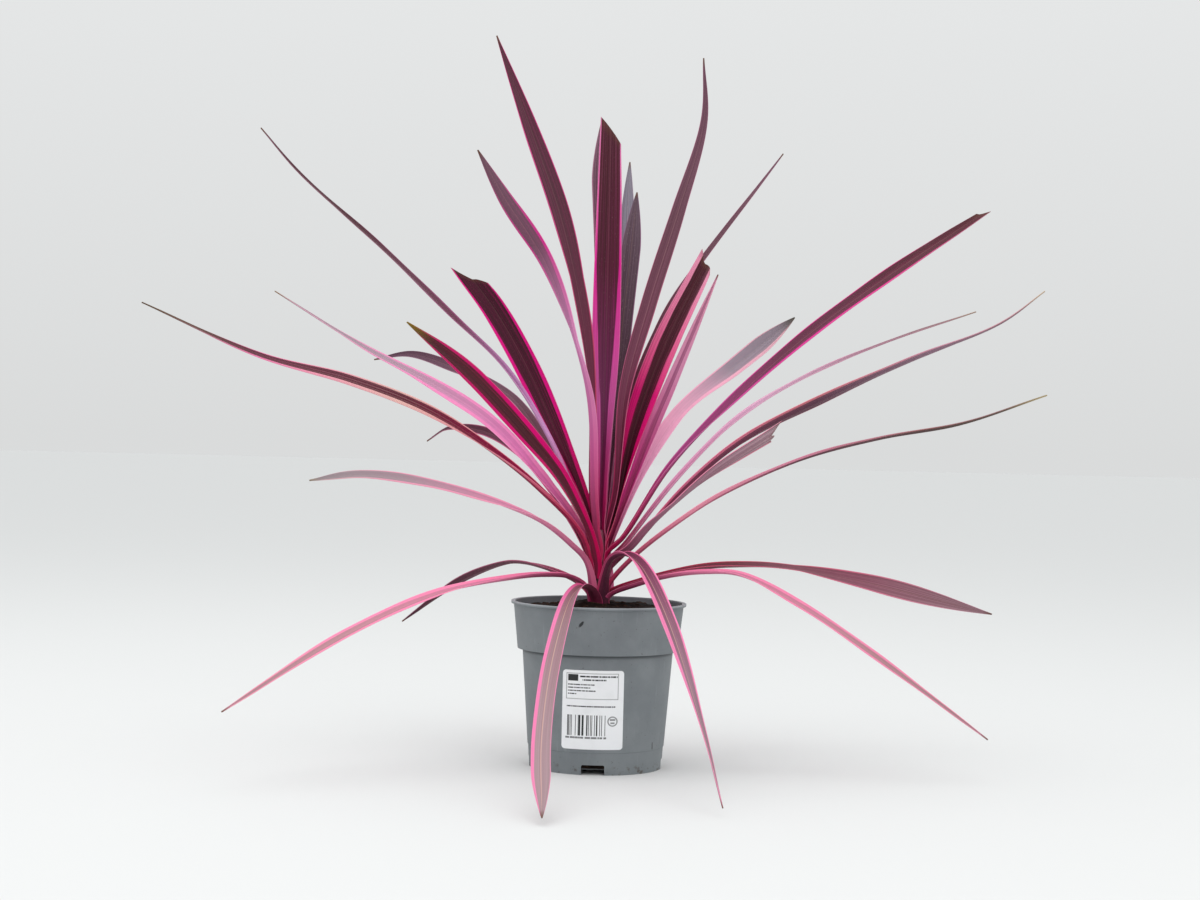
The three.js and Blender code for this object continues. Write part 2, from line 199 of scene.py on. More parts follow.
class Finish:
    """A material whose nodes are added by expressions."""

    def __init__(self, name):
        self.material = bpy.data.materials.new(name)
        self.material.use_nodes = True
        self.tree = self.material.node_tree
        self.shader = self.tree.nodes["Principled BSDF"]

    def plug(self, socket, value):
        if isinstance(value, Value):
            self.tree.links.new(value.socket, socket)
        else:
            socket.default_value = value

    def node(self, kind, settings=None, inputs=()):
        made = self.tree.nodes.new(kind)
        for key, setting in (settings or {}).items():
            setattr(made, key, setting)
        pairs = inputs.items() if isinstance(inputs, dict) else enumerate(inputs)
        for key, value in pairs:
            self.plug(made.inputs[key], value)
        return Node(self, made)

    def set(self, **sockets):
        """Sets sockets of the shader: base_color=... is its Base Color, and so on."""
        for key, value in sockets.items():
            name = key.replace("_", " ").title().replace("Ior", "IOR")
            self.plug(self.shader.inputs[name], value)

    def attribute(self, name, output="Fac"):
        return self.node("ShaderNodeAttribute", {"attribute_name": name}).out(output)

    def place(self):
        return self.node("ShaderNodeTexCoord").out("Object")

    def scaled(self, vector, scale):
        return self.node("ShaderNodeMapping", {}, {"Vector": vector, "Scale": scale}).out()

    def noise(self, vector, scale, detail, roughness=0.5):
        inputs = {"Vector": vector, "Scale": scale, "Detail": detail, "Roughness": roughness}
        return self.node("ShaderNodeTexNoise", {}, inputs).out("Fac")

    def mix(self, share, low, high):
        """The colour low where share is 0 and high where it is 1."""
        inputs = {0: share, 6: low, 7: high}
        return self.node("ShaderNodeMix", {"data_type": "RGBA"}, inputs).out(2)

    def bump(self, height, depth, strength):
        inputs = {"Height": height, "Distance": depth, "Strength": strength}
        self.set(normal=self.node("ShaderNodeBump", {}, inputs).out())


print("example:", [round(c, 3) for c in srgb("e23a96")[:3]])

# %% [markdown]
# ## Shaping by hand, in code
#
# Blender's edit-mode tools act on what is selected. These helpers start a piece and end a
# piece: its place ends up in its mesh, it rides on the body of the part, and it stands for the
# plain solid that it replaces.

# %% Piece helpers


def start():
    if bpy.context.object and bpy.context.object.mode != "OBJECT":
        bpy.ops.object.mode_set(mode="OBJECT")
    bpy.ops.object.select_all(action="DESELECT")


def only(piece):
    start()
    piece.select_set(True)
    bpy.context.view_layer.objects.active = piece


def bake_place(piece):
    only(piece)
    bpy.ops.object.transform_apply(location=True, rotation=True, scale=True)


def modify(piece, kind, **settings):
    """Adds a modifier, sets it up and applies it."""
    only(piece)
    modifier = piece.modifiers.new(kind.lower(), kind)
    for key, setting in settings.items():
        setattr(modifier, key, setting)
    bpy.ops.object.modifier_apply(modifier=modifier.name)


def tidy_mesh(piece, angle=40):
    """Merges doubles, turns the faces outwards and smooths all but the sharp edges."""
    only(piece)
    bpy.ops.object.mode_set(mode="EDIT")
    bpy.ops.mesh.select_all(action="SELECT")
    bpy.ops.mesh.remove_doubles(threshold=0.00001)
    bpy.ops.mesh.normals_make_consistent(inside=False)
    bpy.ops.object.mode_set(mode="OBJECT")
    bpy.ops.object.shade_smooth_by_angle(angle=math.radians(angle))


def settle(piece, name, slot, finish, *nodes):
    """Names a finished piece, gives it its finish and lets it ride on the part."""
    bake_place(piece)
    piece.name = name
    piece.data.name = name
    if finish:
        piece.data.materials.clear()
        piece.data.materials.append(finish.material)
    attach(piece, "root")
    if nodes:
        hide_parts(*nodes)
    print(name, "faces:", len(piece.data.polygons))


def turn_up(profile, segments):
    """A turned body from pairs of radius and height in mm: a disc is extruded ring by ring.

    The profile starts and ends on discs, so its first and last radius aren't zero.
    """
    start()
    radius, height = profile[0]
    bpy.ops.mesh.primitive_circle_add(
        vertices=segments, radius=radius * MM, fill_type="NGON", location=(0, 0, height * MM))
    piece = bpy.context.object
    bake_place(piece)
    bpy.ops.object.mode_set(mode="EDIT")
    bpy.ops.mesh.select_mode(type="EDGE")
    bpy.ops.mesh.select_all(action="SELECT")
    for next_radius, next_height in profile[1:]:
        bpy.ops.mesh.extrude_edges_move(
            TRANSFORM_OT_translate={"value": (0, 0, (next_height - height) * MM)})
        share = next_radius / radius
        bpy.ops.transform.resize(value=(share, share, 1))
        radius, height = next_radius, next_height
    bpy.ops.mesh.edge_face_add()
    bpy.ops.object.mode_set(mode="OBJECT")
    return piece


# %% [markdown]
# ## The pot
#
# A nursery pot is one thin moulding: a tapered wall, a collar that stiffens its top, a rolled
# lip and notches at the foot that let water out. It is a turned body, so one ring of edges is
# raised step by step along the outside, over the lip and down the inside. Box cutters then
# take the notches out, and a small bevel rounds every corner as a mould does.

# %% Pot
POT_SEGMENTS = 128
POT_HEIGHT = 159
COLLAR_Z = 113.5
WALL = 1.4
RECESS = 4
MOULD_EDGE = 0.45
NOTCHES = 4
NOTCH_REACH = 64.5
NOTCH_BOX = (22, 18, 19)
NOTCH_TURN = -2

# Radius and height: up the outside, over the lip and down the inside
pot_profile = [
    (27, 0), (31, RECESS), (57, RECESS), (61, 0), (64.3, 0), (65.4, 20.6), (66.1, 21.4),
    (73, COLLAR_Z), (77.8, COLLAR_Z), (82.4, 156.4), (84.9, 156.8), (85, POT_HEIGHT),
    (81.2, POT_HEIGHT), (76.6, COLLAR_Z + WALL), (71.6, COLLAR_Z + WALL),
    (63.1, RECESS + WALL), (29.6, RECESS + WALL), (25.6, WALL),
]
pot = turn_up(pot_profile, POT_SEGMENTS)
tidy_mesh(pot)

# Half of a cutter is below the floor
for i in range(NOTCHES):
    start()
    bpy.ops.mesh.primitive_cube_add(size=1, location=(0, -NOTCH_REACH * MM, 0))
    cutter = bpy.context.object
    cutter.scale = [side * MM for side in NOTCH_BOX]
    bake_place(cutter)
    angle = math.radians(NOTCH_TURN + 360 * i / NOTCHES)
    cutter.data.transform(Matrix.Rotation(angle, 4, "Z"))
    modify(cutter, "BEVEL", width=1.5 * MM, segments=3)
    modify(pot, "BOOLEAN", operation="DIFFERENCE", solver="EXACT", object=cutter)
    bpy.data.objects.remove(cutter)

modify(pot, "BEVEL", width=MOULD_EDGE * MM, segments=2, limit_method="ANGLE", angle_limit=0.6)
tidy_mesh(pot, 35)
print("pot points:", len(pot.data.vertices))

# %% [markdown]
# ## The finish of the pot
#
# Recycled grey plastic is matte and a little cloudy. Handling leaves fine upright scuffs, and
# rain splashes earth on the foot. Cloudy noise changes the grey, noise stretched along Z makes
# the scuffs, and the height above the floor fades the splashes out. Height also sets a painted
# shadow line under the collar and a painted highlight along the lip, and two dark smudges have
# their place on the front.

# %% Pot plastic


def pot_plastic():
    finish = Finish("pot_plastic")
    place = finish.place()
    parts = finish.node("ShaderNodeSeparateXYZ", {}, [place])
    across, depth, height = (parts.out(axis) for axis in "XYZ")
    clouds = finish.noise(place, 22, 4, 0.6)
    grain = finish.noise(place, 900, 2)
    scuffs = finish.noise(finish.scaled(place, (320, 320, 22)), 1, 3).rise(0.62, 0.78)
    grey = finish.mix(clouds.rise(0.3, 0.7), srgb("71777b"), srgb("7e8487"))
    grey = finish.mix(scuffs * 0.35, grey, srgb("8f9699"))
    splash_noise = finish.noise(place, 190, 4, 0.65)
    foot = 1 - height.rise(0.0, 16 * MM)
    earth = (splash_noise + foot * 0.16).rise(0.66, 0.8) * foot
    specks = finish.noise(place, 420, 1).rise(0.73, 0.77)
    grey = finish.mix(earth * 0.75, grey, srgb("4a3d30"))
    grey = finish.mix(specks * 0.5, grey, srgb("3c3a36"))
    front = 1 - depth.rise(-40 * MM, -30 * MM)

    def mark(x, z, wide, tall, lean):
        """A small dark smudge on the front, at a place in mm."""
        off_z = height / MM - z
        off_x = (across / MM - x - off_z * lean) / wide
        off = (off_x * off_x + off_z * off_z / tall ** 2) ** 0.5
        return (1 - (off + (splash_noise - 0.5) * 1.8).rise(0.6, 1.0)) * front

    marks = mark(-16, 143, 1.9, 3.6, 0.6) + mark(54, 25, 0.6, 4.4, 0)
    grey = finish.mix(marks.apply("MINIMUM", 1.0) * 0.9, grey, srgb("16171a"))
    # Painted shadow: the wall just under the collar is darkened where the collar shades it.
    shade = height.rise(109 * MM, 113 * MM) * (1 - height.rise(113.4 * MM, 113.7 * MM))
    grey = finish.mix(shade * 0.8, grey, srgb("33383b"))
    # Painted highlight: a pale band along the top of the lip, where light catches the rim.
    lip_painted_highlight = height.rise(157.6 * MM, 158.6 * MM)
    grey = finish.mix(lip_painted_highlight * 0.5, grey, srgb("b0b6b9"))
    finish.set(base_color=grey, roughness=0.5 + clouds * 0.16 + earth * 0.25)
    finish.set(specular_ior_level=0.4)
    finish.bump(grain * 0.6 + clouds * 0.5 - scuffs * 0.2, 0.12 * MM, 0.35)
    return finish


settle(pot, "nursery_pot", "pot", pot_plastic(), "pot")

# %% [markdown]
# ## The compost
#
# Compost is a dark, moist mix of peat and bark, heaped up a little round the stem. It is turned
# up in rings as the pot is, and a cloud texture then moves its top up and down. Loose chips of
# bark lie on it: a few are modelled, roughened and copied, so that the surface reads as crumbs.

# %% Compost surface
COMPOST_Z = 150
COMPOST_RADIUS = 79.4
COMPOST_EDGE = 0.6
MOUND = 9
MOUND_RINGS = 20
# How large the lumps are, in metres, and how far they move the top, in mm
LUMPS = ((0.022, 8.0), (0.006, 4.0))

compost_profile = [(62, 6), (70.6, 115.5), (75.6, 115.5), (COMPOST_RADIUS, COMPOST_Z - 1)]
for ring in range(MOUND_RINGS):
    share = ring / MOUND_RINGS
    radius = (COMPOST_RADIUS - COMPOST_EDGE) * (1 - share)
    compost_profile.append((radius, COMPOST_Z + MOUND * (1 - (1 - share) ** 2)))
compost = turn_up(compost_profile, 96)
tidy_mesh(compost, 180)

top = compost.vertex_groups.new(name="top")
top_points = [v.index for v in compost.data.vertices if v.co.z > (COMPOST_Z - 0.5) * MM]
top.add(top_points, 1.0, "REPLACE")
for size, lift in LUMPS:
    lumps = bpy.data.textures.new("lumps", "CLOUDS")
    lumps.noise_scale = size
    lumps.noise_depth = 3
    modify(compost, "DISPLACE", texture=lumps, direction="Z", strength=lift * MM,
           mid_level=0.5, texture_coords="LOCAL", vertex_group="top")
print("compost top points:", len(top_points))

# %% Bark chips
BARK_CHIPS = 330
BARK_REACH = 77
BARK_SIZES = (1.1, 1.5, 2.0, 2.6, 3.8)


def bark_chip(seed):
    """A rough flake: a small ball, flattened, with its points pushed about."""
    start()
    bpy.ops.mesh.primitive_ico_sphere_add(subdivisions=1, radius=1)
    chip = bpy.context.object
    bpy.ops.object.mode_set(mode="EDIT")
    bpy.ops.mesh.select_all(action="SELECT")
    bpy.ops.transform.resize(value=(1.0, 0.62, 0.34))
    bpy.ops.transform.vertex_random(offset=0.22, seed=seed)
    bpy.ops.object.mode_set(mode="OBJECT")
    return chip


draw = random.Random(7)
masters = [bark_chip(seed) for seed in (1, 2, 3)]
surface = bmesh.new()
surface.from_mesh(compost.data)
tree = BVHTree.FromBMesh(surface)
chips = []
for i in range(BARK_CHIPS):
    reach = BARK_REACH * math.sqrt(draw.uniform(0.02, 0.97)) * MM
    angle = draw.uniform(0, 2 * math.pi)
    # A ray from above the pot finds the compost under the chip
    spot = Vector((reach * math.cos(angle), reach * math.sin(angle), 0.2))
    hit = tree.ray_cast(spot, Vector((0, 0, -1)))[0]
    size = draw.choice(BARK_SIZES) * MM
    chip = masters[i % 3].copy()
    chip.data = masters[i % 3].data.copy()
    turn = Matrix.Rotation(draw.uniform(0, 6.28), 4, "Z")
    tilt = Matrix.Rotation(draw.uniform(-0.6, 0.6), 4, "X")
    chip.data.transform(Matrix.Translation(hit) @ turn @ tilt @ Matrix.Scale(size, 4))
    bpy.context.scene.collection.objects.link(chip)
    chips.append(chip)
for master in masters:
    bpy.data.objects.remove(master)
start()
for chip in chips:
    chip.select_set(True)
bpy.context.view_layer.objects.active = chips[0]
bpy.ops.object.join()
bark = bpy.context.object
surface.free()
print("bark chips:", len(chips))

# %% Compost finish


def compost_crumb(name, dark, light):
    finish = Finish(name)
    place = finish.place()
    patches = finish.noise(place, 90, 5, 0.7)
    fibres = finish.noise(finish.scaled(place, (900, 900, 260)), 1, 3, 0.7)
    moist = finish.noise(place, 35, 2)
    brown = finish.mix(patches.rise(0.35, 0.65), dark, light)
    brown = finish.mix(fibres.rise(0.64, 0.74) * 0.5, brown, srgb("6d5a47"))
    finish.set(base_color=brown, roughness=0.95 - moist * 0.25, specular_ior_level=0.06)
    finish.bump(patches + fibres * 0.4, 0.8 * MM, 0.7)
    return finish


settle(compost, "compost", "soil", compost_crumb("compost", srgb("0e0908"), srgb("241914")), "soil")
settle(bark, "bark_chips", "soil", compost_crumb("bark", srgb("20150f"), srgb("483429")))

# %% [markdown]
# ## The sticker
#
# A paper sticker with round corners is pressed on the front of the wall. It is cut flat, with
# rows of faces so that it can bend, and a Shrinkwrap modifier lays it on the pot. Solidify
# gives the paper its thickness. Only plain bars and stripes are printed on it.

# %% Sticker
STICKER_WIDTH = 57.5
STICKER_MIDDLE = -3.4
STICKER_LOW = 24.5
STICKER_HIGH = 99.5
STICKER_CORNER = 3
STICKER_COLUMNS = 24
STICKER_CUTS = (30, 45, 60, 75, 90)
STICKER_AWAY = 90

start()
bpy.ops.mesh.primitive_plane_add(size=1)
sticker = bpy.context.object
sticker.rotation_euler = (math.radians(90), 0, 0)
sticker.scale = (STICKER_WIDTH * MM, (STICKER_HIGH - STICKER_LOW) * MM, 1)
sticker.location = (
    STICKER_MIDDLE * MM, -STICKER_AWAY * MM, (STICKER_LOW + STICKER_HIGH) / 2 * MM)
bake_place(sticker)
bpy.ops.object.mode_set(mode="EDIT")
bpy.ops.mesh.select_all(action="SELECT")
bpy.ops.mesh.bevel(affect="VERTICES", offset=STICKER_CORNER * MM, segments=5)
for i in range(1, STICKER_COLUMNS):
    cut_x = (STICKER_MIDDLE + STICKER_WIDTH * (i / STICKER_COLUMNS - 0.5)) * MM
    bpy.ops.mesh.select_all(action="SELECT")
    bpy.ops.mesh.bisect(plane_co=(cut_x, 0, 0), plane_no=(1, 0, 0))
for cut_z in STICKER_CUTS:
    bpy.ops.mesh.select_all(action="SELECT")
    bpy.ops.mesh.bisect(plane_co=(0, 0, cut_z * MM), plane_no=(0, 0, 1))
bpy.ops.object.mode_set(mode="OBJECT")
modify(sticker, "SHRINKWRAP", target=pot, wrap_method="PROJECT", use_project_y=True,
       use_positive_direction=True, use_negative_direction=False, offset=0.25 * MM)
modify(sticker, "SOLIDIFY", thickness=0.2 * MM, offset=0)
tidy_mesh(sticker, 60)
print("sticker faces:", len(sticker.data.polygons))

# %% Sticker print


def sticker_paper():
    """White paper with a frame, a dark square, grey rows, a row of stripes and a round mark.

    across and up run in mm from the sticker's lower left corner, so a mark is a box in them.
    """
    finish = Finish("sticker_paper")
    place = finish.node("ShaderNodeSeparateXYZ", {}, [finish.place()])
    across = place.out("X") / MM + (STICKER_WIDTH / 2 - STICKER_MIDDLE)
    up = place.out("Z") / MM - STICKER_LOW
    soft = 0.12

    def box(left, low, right, high):
        wide = across.rise(left - soft, left + soft) - across.rise(right - soft, right + soft)
        tall = up.rise(low - soft, low + soft) - up.rise(high - soft, high + soft)
        return wide * tall

    def row(left, low, right, high, scale, seed):
        """A bar broken into short grey words."""
        inputs = {"W": across * scale + seed, "Scale": 1.0, "Detail": 1.0}
        words = finish.node("ShaderNodeTexNoise", {"noise_dimensions": "1D"}, inputs).out("Fac")
        return box(left, low, right, high) * words.rise(0.33, 0.42)

    frame_line = box(3.4, 47.5, 52.6, 72.3) - box(4.1, 48.2, 51.9, 71.6)
    square = box(5, 64.8, 14.5, 71)
    rows = row(16, 68.4, 51.6, 69.9, 0.9, 3) + row(18.5, 65.2, 41, 66.6, 0.9, 9)
    for i, right in enumerate((30, 26, 31, 13)):
        rows = rows + row(5, 60.8 - 2.9 * i, right, 61.9 - 2.9 * i, 1.1, 15 + 7 * i)
    rows = rows + row(4, 40.2, 50, 41.4, 1.3, 61)
    rows = rows + row(3.5, 10.2, 42, 12, 0.5, 80) * 0.8
    steps = finish.node("ShaderNodeMath", {"operation": "FLOOR"}, [across / 0.62]).out()
    noise = finish.node("ShaderNodeTexWhiteNoise", {"noise_dimensions": "1D"}, {"W": steps + 5})
    stripes = box(3.8, 13, 41.4, 32.6) * noise.out("Value").rise(0.45, 0.5)
    ring_x = across - 47.6
    ring_z = up - 27
    ring_distance = (ring_x * ring_x + ring_z * ring_z) ** 0.5
    mark = ring_distance.rise(3.4, 3.9) - ring_distance.rise(4.6, 5.1)
    dash = box(45, 27.6, 50.2, 29.4) + box(45.6, 24.6, 49.6, 26.2)
    ink = frame_line * 0.6 + square + rows + stripes + mark * 0.7 + dash * 0.7
    grime = finish.noise(finish.place(), 60, 4, 0.6)
    paper = finish.mix(grime.rise(0.45, 0.8) * 0.25, srgb("eff1f3"), srgb("cfd3d4"))
    paper = finish.mix(ink.apply("MINIMUM", 1.0), paper, srgb("1c1f21"))
    finish.set(base_color=paper, roughness=0.42 + grime * 0.15, specular_ior_level=0.45)
    return finish


settle(sticker, "sticker", "label", sticker_paper(), "label")

# %% [markdown]
# ## The stem
#
# Little of the stem shows: the clasping leaf bases wrap it. It is a turned core that tapers to
# the growing point, so that no gap opens between the bases.

# %% Stem
# Height and radius, from the bottom up
STEM_RINGS = [(96, 8), (104, 9.5), (156, 9.5), (175, 8), (200, 6), (222, 4), (229, 2.2)]


def stem_radius(z):
    heights, radii = zip(*STEM_RINGS)
    return float(np.interp(z, heights, radii))


stem = turn_up([(radius, z) for z, radius in STEM_RINGS], 40)
modify(stem, "BEVEL", width=0.8 * MM, segments=2, limit_method="ANGLE", angle_limit=0.5)
tidy_mesh(stem, 50)


def stem_skin():
    finish = Finish("stem_skin")
    place = finish.place()
    lines = finish.noise(finish.scaled(place, (500, 500, 40)), 1, 3)
    crimson = finish.mix(lines.rise(0.35, 0.65), srgb("4a1c2c"), srgb("8c2e50"))
    finish.set(base_color=crimson, roughness=0.5)
    finish.bump(lines, 0.3 * MM, 0.5)
    return finish


settle(stem, "stem_core", "stem", stem_skin(), "stem")

# %% [markdown]
# ## The leaves
#
# A cordyline leaf clasps the stem with a broad base, narrows to a folded neck and widens into
# a long blade that ends in a point or a trimmed tip. All leaves are one form, so one blade is
# modelled flat, as a strip of fine faces with a crease along its middle. Each leaf is a copy
# of it with its own mesh, laid along that leaf's own line. A Curve modifier could do that, but
# it can't also swing, roll, fold and widen the blade as the leaves do, so a formula does.
#
# The table has a row for each leaf, from the lowest to the youngest, in mm and degrees.
# heading 0 is to the front and 90 to the right. turn is how far the tip has swung round:
# evenly where bend is 1, and mostly near the tip where it isn't given. seat is the height on
# the stem, and path lists the points out from the stem and up that the midrib runs through.
# The blade has its full width between the two shares of its length in wide. roll lifts the
# right margin, half way and at the tip. A trimmed leaf ends at the share cut of its width,
# slant makes its right side longer, and trim lists the ragged steps of that end.

# %% Leaf table
LEAVES = [
    dict(heading=340, turn=13, bend=1, seat=158, width=17, wide=(0.35, 0.85), roll=(4, 10),
         look="ribbon",
         path=[(24, 170), (52, 176), (80, 172), (108, 160), (179, 114), (258, 59), (346, 8)]),
    dict(heading=176, turn=6, seat=159, width=19, roll=(0, 12), look="shade",
         path=[(22, 176), (48, 190), (84, 188), (140, 158), (210, 98), (270, 48)]),
    dict(heading=290, turn=12, seat=160, width=17, roll=(18, 22), look="rose",
         path=[(15, 173), (30, 182), (56, 184), (91, 181), (162, 168), (253, 133), (387, 70)]),
    dict(heading=24, turn=-3, seat=161, width=17, wide=(0.38, 0.5), roll=(4, 60), look="arch",
         path=[(14, 180), (24, 197), (44, 206), (68, 207), (98, 198), (159, 155), (247, 67),
               (303, 9)]),
    dict(heading=222, turn=6, seat=162, width=15, roll=(-10, -14), look="slate",
         path=[(28, 173), (58, 182), (111, 190), (140, 188), (201, 168), (279, 120)]),
    dict(heading=72, turn=10, seat=163, width=16, roll=(-16, -20), look="rose",
         path=[(41, 177), (71, 186), (106, 191), (140, 190), (197, 164), (264, 121), (375, 41)]),
    dict(heading=110, turn=-11, seat=165, width=22, wide=(0.55, 0.7), roll=(-14, -110),
         look="drift",
         path=[(43, 177), (106, 191), (149, 194), (191, 193), (273, 180), (398, 151)]),
    dict(heading=192, turn=-8, seat=167, width=20, roll=(8, 14), look="rose",
         path=[(34, 196), (80, 226), (140, 246), (220, 240), (300, 206)]),
    dict(heading=306, turn=12, seat=169, width=16, wide=(0.5, 0.65), roll=(34, 34), look="dusty",
         path=[(18, 198), (36, 214), (66, 234), (101, 248), (191, 270), (286, 280), (368, 276)]),
    dict(heading=78, turn=-8, seat=172, width=15, roll=(10, 14), look="fern",
         path=[(32, 201), (78, 239), (117, 265), (193, 301), (269, 323), (345, 338), (426, 366)]),
    dict(heading=206, turn=14, seat=174, width=12, wide=(0.5, 0.75), roll=(10, 60),
         look="wine",
         path=[(32, 205), (68, 235), (122, 274), (168, 301), (222, 322), (270, 325), (294, 311)]),
    dict(heading=232, turn=8, seat=179, width=19, wide=(0.45, 0.55), roll=(28, -20), look="mauve",
         path=[(25, 223), (78, 278), (143, 331), (221, 371), (302, 407), (407, 467)]),
    dict(heading=46, turn=6, seat=181, width=20, roll=(-20, 30), cut=0.7, slant=20,
         trim=(0, -3, 1, -5, -2, 0, 3), look="brush",
         path=[(22, 200), (43, 213), (73, 241), (135, 286), (200, 326)]),
    dict(heading=168, turn=4, seat=182, width=21, roll=(0, -10), look="mist",
         path=[(28, 220), (70, 280), (130, 334), (210, 372), (300, 388)]),
    dict(heading=278, turn=-9, seat=184, width=19, roll=(40, 10), look="salmon",
         path=[(20, 223), (60, 265), (109, 303), (173, 341), (245, 367), (332, 389), (452, 440)]),
    dict(heading=90, turn=9, seat=186, width=17, wide=(0.36, 0.42), roll=(34, 8), look="reed",
         path=[(34, 215), (86, 275), (143, 322), (221, 364), (300, 401), (395, 441), (445, 476)]),
    dict(heading=112, turn=-9, seat=190, width=13, roll=(-6, -4), look="lilac",
         path=[(31, 219), (83, 282), (145, 342), (208, 381), (290, 419), (384, 455)]),
    dict(heading=216, turn=12, seat=190, width=14, wide=(0.5, 0.75), roll=(0, 60), look="smoke",
         path=[(14, 215), (35, 249), (101, 317), (154, 359), (235, 388), (292, 403), (333, 397)]),
    dict(heading=322, turn=-8, seat=193, width=20, wide=(0.6, 0.75), roll=(-30, -20), look="olive",
         path=[(16, 219), (40, 253), (71, 287), (139, 341), (192, 381), (246, 417)]),
    dict(heading=146, turn=-12, seat=193, width=20, wide=(0.45, 0.85), roll=(0, -60), look="pale",
         path=[(34, 236), (75, 290), (131, 346), (209, 396), (279, 451)]),
    dict(heading=267, turn=-8, seat=197, width=15, roll=(18, 14), look="plum",
         path=[(14, 228), (51, 313), (96, 382), (152, 435), (224, 501), (312, 575), (356, 621)]),
    dict(heading=137, turn=-6, seat=198, width=14, roll=(-20, -20), look="bloom",
         path=[(21, 228), (63, 315), (94, 373), (150, 487)]),
    dict(heading=173, turn=2, seat=202, width=17, wide=(0.5, 0.8), roll=(0, 10), look="frost",
         path=[(30, 250), (67, 345), (130, 434), (190, 515), (258, 620)]),
    dict(heading=95, turn=10, seat=204, width=17, wide=(0.5, 0.7), roll=(-36, -60), cut=0.4,
         slant=12, trim=(0, -2, 0, 2), look="flame",
         path=[(23, 221), (67, 291), (125, 355), (195, 419), (279, 482), (395, 556)]),
    dict(heading=238, turn=6, seat=206, width=25, wide=(0.64, 0.75), roll=(60, 65), cut=0.85,
         slant=-34,
         trim=(2, -1, -3, -4, -1, 0, 0), look="night",
         path=[(14, 240), (47, 310), (87, 384), (125, 443), (152, 477)]),
    dict(heading=146, turn=-8, seat=207, width=6.5, roll=(-40, -40), look="dusk",
         path=[(25, 250), (46, 352), (62, 386), (85, 419), (118, 460), (277, 626)]),
    dict(heading=124, turn=-3, seat=212, width=27, wide=(0.6, 0.66), roll=(-45, -50), cut=0.7,
         slant=-20,
         trim=(0, -1, -4, -3, 0, 2, -2), look="blaze",
         path=[(17, 240), (37, 327), (71, 412), (116, 497)]),
    dict(heading=318, turn=-8, seat=211, width=20, wide=(0.5, 0.75), roll=(34, -60), look="twist",
         path=[(14, 258), (22, 354), (50, 425), (84, 484), (131, 539), (159, 581)]),
    dict(heading=168, turn=2, seat=221, width=21, wide=(0.5, 0.8), roll=(0, 6), look="cloud",
         path=[(17, 258), (38, 330), (80, 420), (130, 510), (172, 577)]),
    dict(heading=127, turn=3, seat=216, width=16, roll=(-50, -60), look="dusk",
         path=[(19, 262), (27, 365), (53, 450), (90, 547), (124, 641), (121, 703)]),
    dict(heading=175, turn=10, seat=225, width=24, wide=(0.5, 0.85), roll=(0, -10), look="mist",
         path=[(13, 258), (30, 340), (62, 450), (104, 638)]),
    dict(heading=261, turn=-9, seat=218, width=25, roll=(24, 100), look="banner",
         path=[(11, 262), (13, 340), (22, 430), (46, 530), (82, 625), (120, 713)]),
    dict(heading=178, turn=1, seat=228, width=28, roll=(0, 0), cut=0.75, slant=-28,
         trim=(0, 1.5, 2, 1.5, 0), look="heart",
         path=[(1, 262), (15, 330), (30, 420), (48, 530), (60, 625)]),
]
print("leaves:", len(LEAVES))
